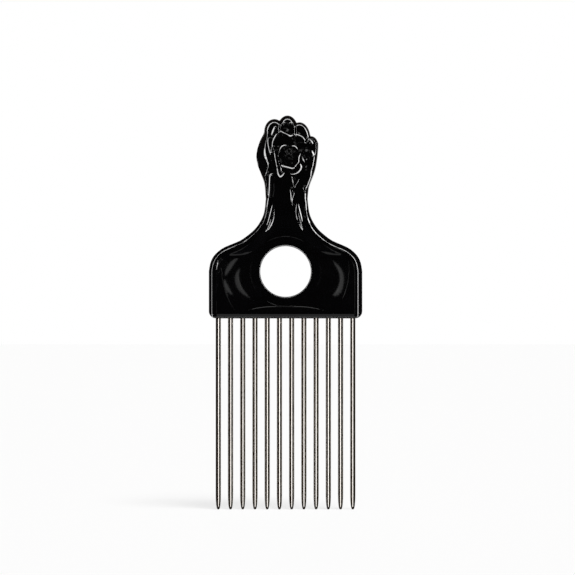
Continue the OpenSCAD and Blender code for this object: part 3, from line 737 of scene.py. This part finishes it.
def cutAway(piece, cutter):
    # cuts the piece with the cutter, which is then thrown away
    cut = piece.modifiers.new("cut", "BOOLEAN")
    cut.operation, cut.object, cut.solver = "DIFFERENCE", cutter, "EXACT"
    bpy.context.view_layer.update()
    mesh = bpy.data.meshes.new_from_object(piece.evaluated_get(bpy.context.evaluated_depsgraph_get()))
    piece.modifiers.clear()
    old, piece.data = piece.data, mesh
    bpy.data.meshes.remove(old)
    bpy.data.objects.remove(cutter)


def buildHandle(h, material):
    # one grid, extruded into front and back, set to its heights and bored through
    x, z = handlePlan(h)
    front = frontHeight(h, x, z)
    back = soften(handleHeight(h, x, z, backHand), h["backPasses"])
    rows, columns = x.shape
    bm = bmesh.new()
    bmesh.ops.create_grid(bm, x_segments=columns - 1, y_segments=rows - 1, size=1)
    sheet = list(bm.faces)
    grown = bmesh.ops.extrude_face_region(bm, geom=sheet, use_keep_orig=True)
    newVerts = {v for v in grown["geom"] if isinstance(v, bmesh.types.BMVert)}
    for v in bm.verts:
        i, j = round((v.co.x + 1) / 2 * (columns - 1)), round((v.co.y + 1) / 2 * (rows - 1))
        depth = -front[j, i] if v in newVerts else back[j, i]
        v.co = Vector((x[j, i], depth, z[j, i])) * mm
    bmesh.ops.recalc_face_normals(bm, faces=bm.faces)
    piece = meshPiece("handleShell", bm, material)
    print("handle sheet:", len(piece.data.polygons), "faces")
    cutAway(piece, holeCutter(h))
    print("handle cut:", len(piece.data.polygons), "faces")
    return piece


# one steel tine, in millimetres: a straight shank, a bullet end and a headed root
tine = {
    "radius": 1.125, "tipLength": 7.6, "tipRound": 2.4, "tipFull": 3, "headRadius": 1.65, "headHeight": 1.1,
    "sides": 40, "tipRings": 18, "shankRings": 12,
}


def buildTine(name, settings, material):
    # one lathe profile, from the tip up to the head that locks it in the handle
    low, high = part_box(name)
    centre = (low + high) / 2
    tip = []
    for k in range(settings["tipRings"] + 1):
        t = (k / settings["tipRings"]) ** 2       # rings crowd towards the very tip
        along = settings["tipLength"] * t
        radius = settings["radius"] * (1 - (1 - t) ** settings["tipRound"]) ** (1 / settings["tipFull"])
        tip.append((radius * mm, low.z + along * mm))
    rootZ = high.z - settings["headHeight"] * mm
    rings = np.linspace(tip[-1][1], rootZ, settings["shankRings"])[1:]
    profile = tip + [(settings["radius"] * mm, z) for z in rings]
    profile += [(settings["headRadius"] * mm, rootZ), (settings["headRadius"] * mm, high.z), (0, high.z)]
    bm = spunProfile(profile, settings["sides"])
    bmesh.ops.translate(bm, verts=bm.verts, vec=(centre.x, centre.y, 0))
    return meshPiece(name + "_wire", bm, material)


black = blackPlastic(plasticLook)
steel = tineSteel(steelLook)
print("materials made")

shell = buildHandle(handle, black)
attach(shell, "root")
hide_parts("handle")

for name in sorted(frame["nodes"]):
    if name.startswith("tine_"):
        wire = buildTine(name, tine, steel)
        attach(wire, "root")
        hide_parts(name)
print("tines made")

# the studio: a pale floor, a white backdrop and strip lamps beside, above and in front
studio = {
    "floorColour": (0.86, 0.86, 0.86, 1), "floorRough": 0.6, "floorWhite": 0.75, "floorSize": 3,
    # how many millimetres the picture takes in from side to side, and its middle
    "lens": 150, "viewWidth": 248, "viewX": 0.84, "viewZ": -6.9,
    "lamps": [
        # a frame of strips round the pick: name, what it lights, place, aim, wide, tall, brightness
        ("leftStrip", "handle", (-0.55, -0.085, 0.235), (0, -0.085, 0.235), 0.15, 0.65, 15),
        ("rightStrip", "handle", (0.55, -0.085, 0.235), (0, -0.085, 0.235), 0.15, 0.65, 22),
        ("topStrip", "handle", (0, -0.085, 0.57), (0, -0.085, 0), 1.1, 0.15, 15),
        ("lowStrip", "handle", (0, -0.038, -0.1), (0, -0.038, 0.1), 0.4, 0.046, 15),
        ("lowLeftStrip", "handle", (-0.375, -0.07, -0.1), (-0.375, -0.07, 0.1), 0.35, 0.09, 15),
        ("lowRightStrip", "handle", (0.375, -0.07, -0.1), (0.375, -0.07, 0.1), 0.35, 0.09, 15),
        ("tineFront", "tines", (0.02, -0.2, -0.06), (0, 0, -0.06), 0.1, 0.3, 2.0),
        ("lipPanel", "handle", (0, -0.11, -0.088), (0, 0, -0.02), 0.1, 0.036, 0.45),
        ("glowPanel", "handle", (0.21, -0.52, 0.505), (0, 0, 0.055), 0.16, 0.12, 1.8),
        ("padPanel", "handle", (0.002, -0.72, 0.405), (0, 0, 0.05), 0.2, 0.14, 1.4),
    ],
    "glints": [
        # brightness, then across and up on the dish in millimetres and the glint's width there
        (0.8, [(-20, 6.2, 0), (-22.6, 3.9, 1.2), (-24.8, 1, 1.5), (-25.9, -1.6, 0.3)]),
        (0.8, [(-26.3, -3.4, 0.3), (-25.8, -5.8, 1.5), (-24.6, -8, 1.5), (-22.8, -10, 0.2)]),
        (0.7, [(-19.6, 1.2, 0), (-20.8, -1.6, 1.4), (-20.6, -4.6, 1.9), (-19, -8, 1.5), (-15.4, -11.2, 0)]),
        (0.9, [(20.3, 4.4, 0), (22.9, 1.4, 1.1), (24.1, -2.2, 1.5), (23.9, -5.6, 1.8), (22.7, -8.8, 1.9),
               (20.6, -10, 0.3)]),
    ],
    "glintSteps": 3, "glintAway": 0.88,
    # it lights the floor and draws the shadow: strength, softness in degrees, from where
    "sun": (3.85, 24, (0.25, -0.3, 1)),
    # a dim warm room, with white behind the pick from one share of the way to the other
    "roomColour": (0.5, 0.36, 0.26, 1), "roomStrength": 0.03, "whiteFrom": 0.93, "whiteTo": 0.96,
}


def stripLamp(name, place, aim, wide, tall, bright):
    data = bpy.data.lights.new(name, "AREA")
    data.shape, data.size, data.size_y = "RECTANGLE", wide, tall
    data.energy = bright * wide * tall * math.pi
    lamp = bpy.data.objects.new(name, data)
    bpy.context.scene.collection.objects.link(lamp)
    lamp.location = place
    lamp.rotation_euler = (Vector(aim) - Vector(place)).to_track_quat("-Z", "Y").to_euler()
    lamp.visible_camera = False
    return lamp


def mirrored(h, eye, x, z, away):
    # where a lamp has to stand for the dish to show it at this place
    far = math.hypot(x, z)
    out = (far - h["landRadius"]) / h["dishRun"]
    slope = h["dishDepth"] * h["dishPower"] * out ** (h["dishPower"] - 1) / h["dishRun"]
    height = h["rimThick"] / 2 - h["dishDepth"] * (1 - out ** h["dishPower"])
    place = Vector((x, -height, z)) * mm
    facing = Vector((-slope * x / far, -1, -slope * z / far)).normalized()
    return place + (place - eye).normalized().reflect(facing) * away


def glint(s, h, eye, name, bright, points, lit):
    # a bent row of small panels, which the dish shows as one crescent
    path = smoothPath(points, s["glintSteps"])
    for k, (start, end) in enumerate(zip(path, path[1:])):
        x, z, wide = (start + end) / 2
        half = wide / 2 / math.hypot(x, z)
        first, last = (mirrored(h, eye, *point[:2], s["glintAway"]) for point in (start, end))
        inner, outer = (mirrored(h, eye, x * share, z * share, s["glintAway"]) for share in (1 - half, 1 + half))
        middle = (first + last) / 2
        lamp = stripLamp(f"{name}{k}", middle, (0, 0, 0), (outer - inner).length, (last - first).length, bright)
        ahead = -middle.normalized()
        along = (last - first).normalized()
        across = ahead.cross(along).normalized()
        lamp.rotation_euler = Matrix((across, along, -ahead)).transposed().to_euler()
        lamp.light_linking.receiver_collection = lit


def setStudio(s):
    floorZ = min(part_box(name)[0].z for name in frame["nodes"])
    bm = bmesh.new()
    bmesh.ops.create_grid(bm, x_segments=1, y_segments=1, size=s["floorSize"])
    bmesh.ops.translate(bm, verts=bm.verts, vec=(0, 0, floorZ))
    floorMaterial, graph = newMaterial("paleFloor")
    rays = graph.node("ShaderNodeLightPath", output="Is Camera Ray")
    matt = graph.node("ShaderNodeBsdfPrincipled", None, Base_Color=s["floorColour"], Roughness=s["floorRough"])
    white = graph.node("ShaderNodeEmission", None, (1, 1, 1, 1), 1)
    mixed = graph.node("ShaderNodeMixShader", None, rays * s["floorWhite"], matt, white)
    graph.node("ShaderNodeOutputMaterial", None, mixed)
    floor = meshPiece("floor", bm, floorMaterial)
    floor.visible_glossy = False

    lit = {name: bpy.data.collections.new(name + "Lit") for name in ("handle", "tines", "floor")}
    for piece in bpy.data.objects:
        if piece.type == "MESH" and not piece.hide_render:
            group = "tines" if piece.name.endswith("_wire") else "floor" if piece == floor else "handle"
            lit[group].objects.link(piece)
    for name, lights, *settings in s["lamps"]:
        stripLamp(name, *settings).light_linking.receiver_collection = lit[lights]
    lens = bpy.data.cameras.new("camera")
    lens.lens = s["lens"]
    eye = Vector((s["viewX"], -s["viewWidth"] * lens.lens / lens.sensor_width, s["viewZ"])) * mm
    for k, (bright, points) in enumerate(s["glints"]):
        glint(s, handle, eye, f"glint{k}x", bright, points, lit["handle"])
    strength, softness, way = s["sun"]
    data = bpy.data.lights.new("sun", "SUN")
    data.energy, data.angle = strength, math.radians(softness)
    sun = bpy.data.objects.new("sun", data)
    bpy.context.scene.collection.objects.link(sun)
    sun.rotation_euler = Vector(way).to_track_quat("Z", "Y").to_euler()
    sun.light_linking.receiver_collection = lit["floor"]

    # white behind the pick, for the camera and for gloss that looks past it; a dim warm room elsewhere
    world = bpy.data.worlds.new("studio")
    bpy.context.scene.world = world
    world.use_nodes = True
    graph = Graph(world.node_tree)
    seen = graph.node("ShaderNodeLightPath", output="Is Camera Ray")
    glossy = graph.node("ShaderNodeLightPath", output="Is Glossy Ray")
    way = graph.node("ShaderNodeTexCoord", output="Generated")
    toBack = graph.node("ShaderNodeSeparateXYZ", None, way, output="Y")
    behind = graph.node("ShaderNodeMapRange", None, toBack, s["whiteFrom"], s["whiteTo"])
    room = graph.node("ShaderNodeBackground", None, s["roomColour"], s["roomStrength"])
    white = graph.node("ShaderNodeBackground", None, (1, 1, 1, 1), 1)
    both = seen.math("MAXIMUM", glossy * behind)
    graph.node("ShaderNodeOutputWorld", None, graph.node("ShaderNodeMixShader", None, both, room, white))

    camera = bpy.data.objects.new("camera", lens)
    bpy.context.scene.collection.objects.link(camera)
    camera.location = eye
    camera.rotation_euler = (math.pi / 2, 0, 0)
    bpy.context.scene.camera = camera
    bpy.context.scene.view_settings.view_transform = "Standard"


setStudio(studio)
print("studio set")
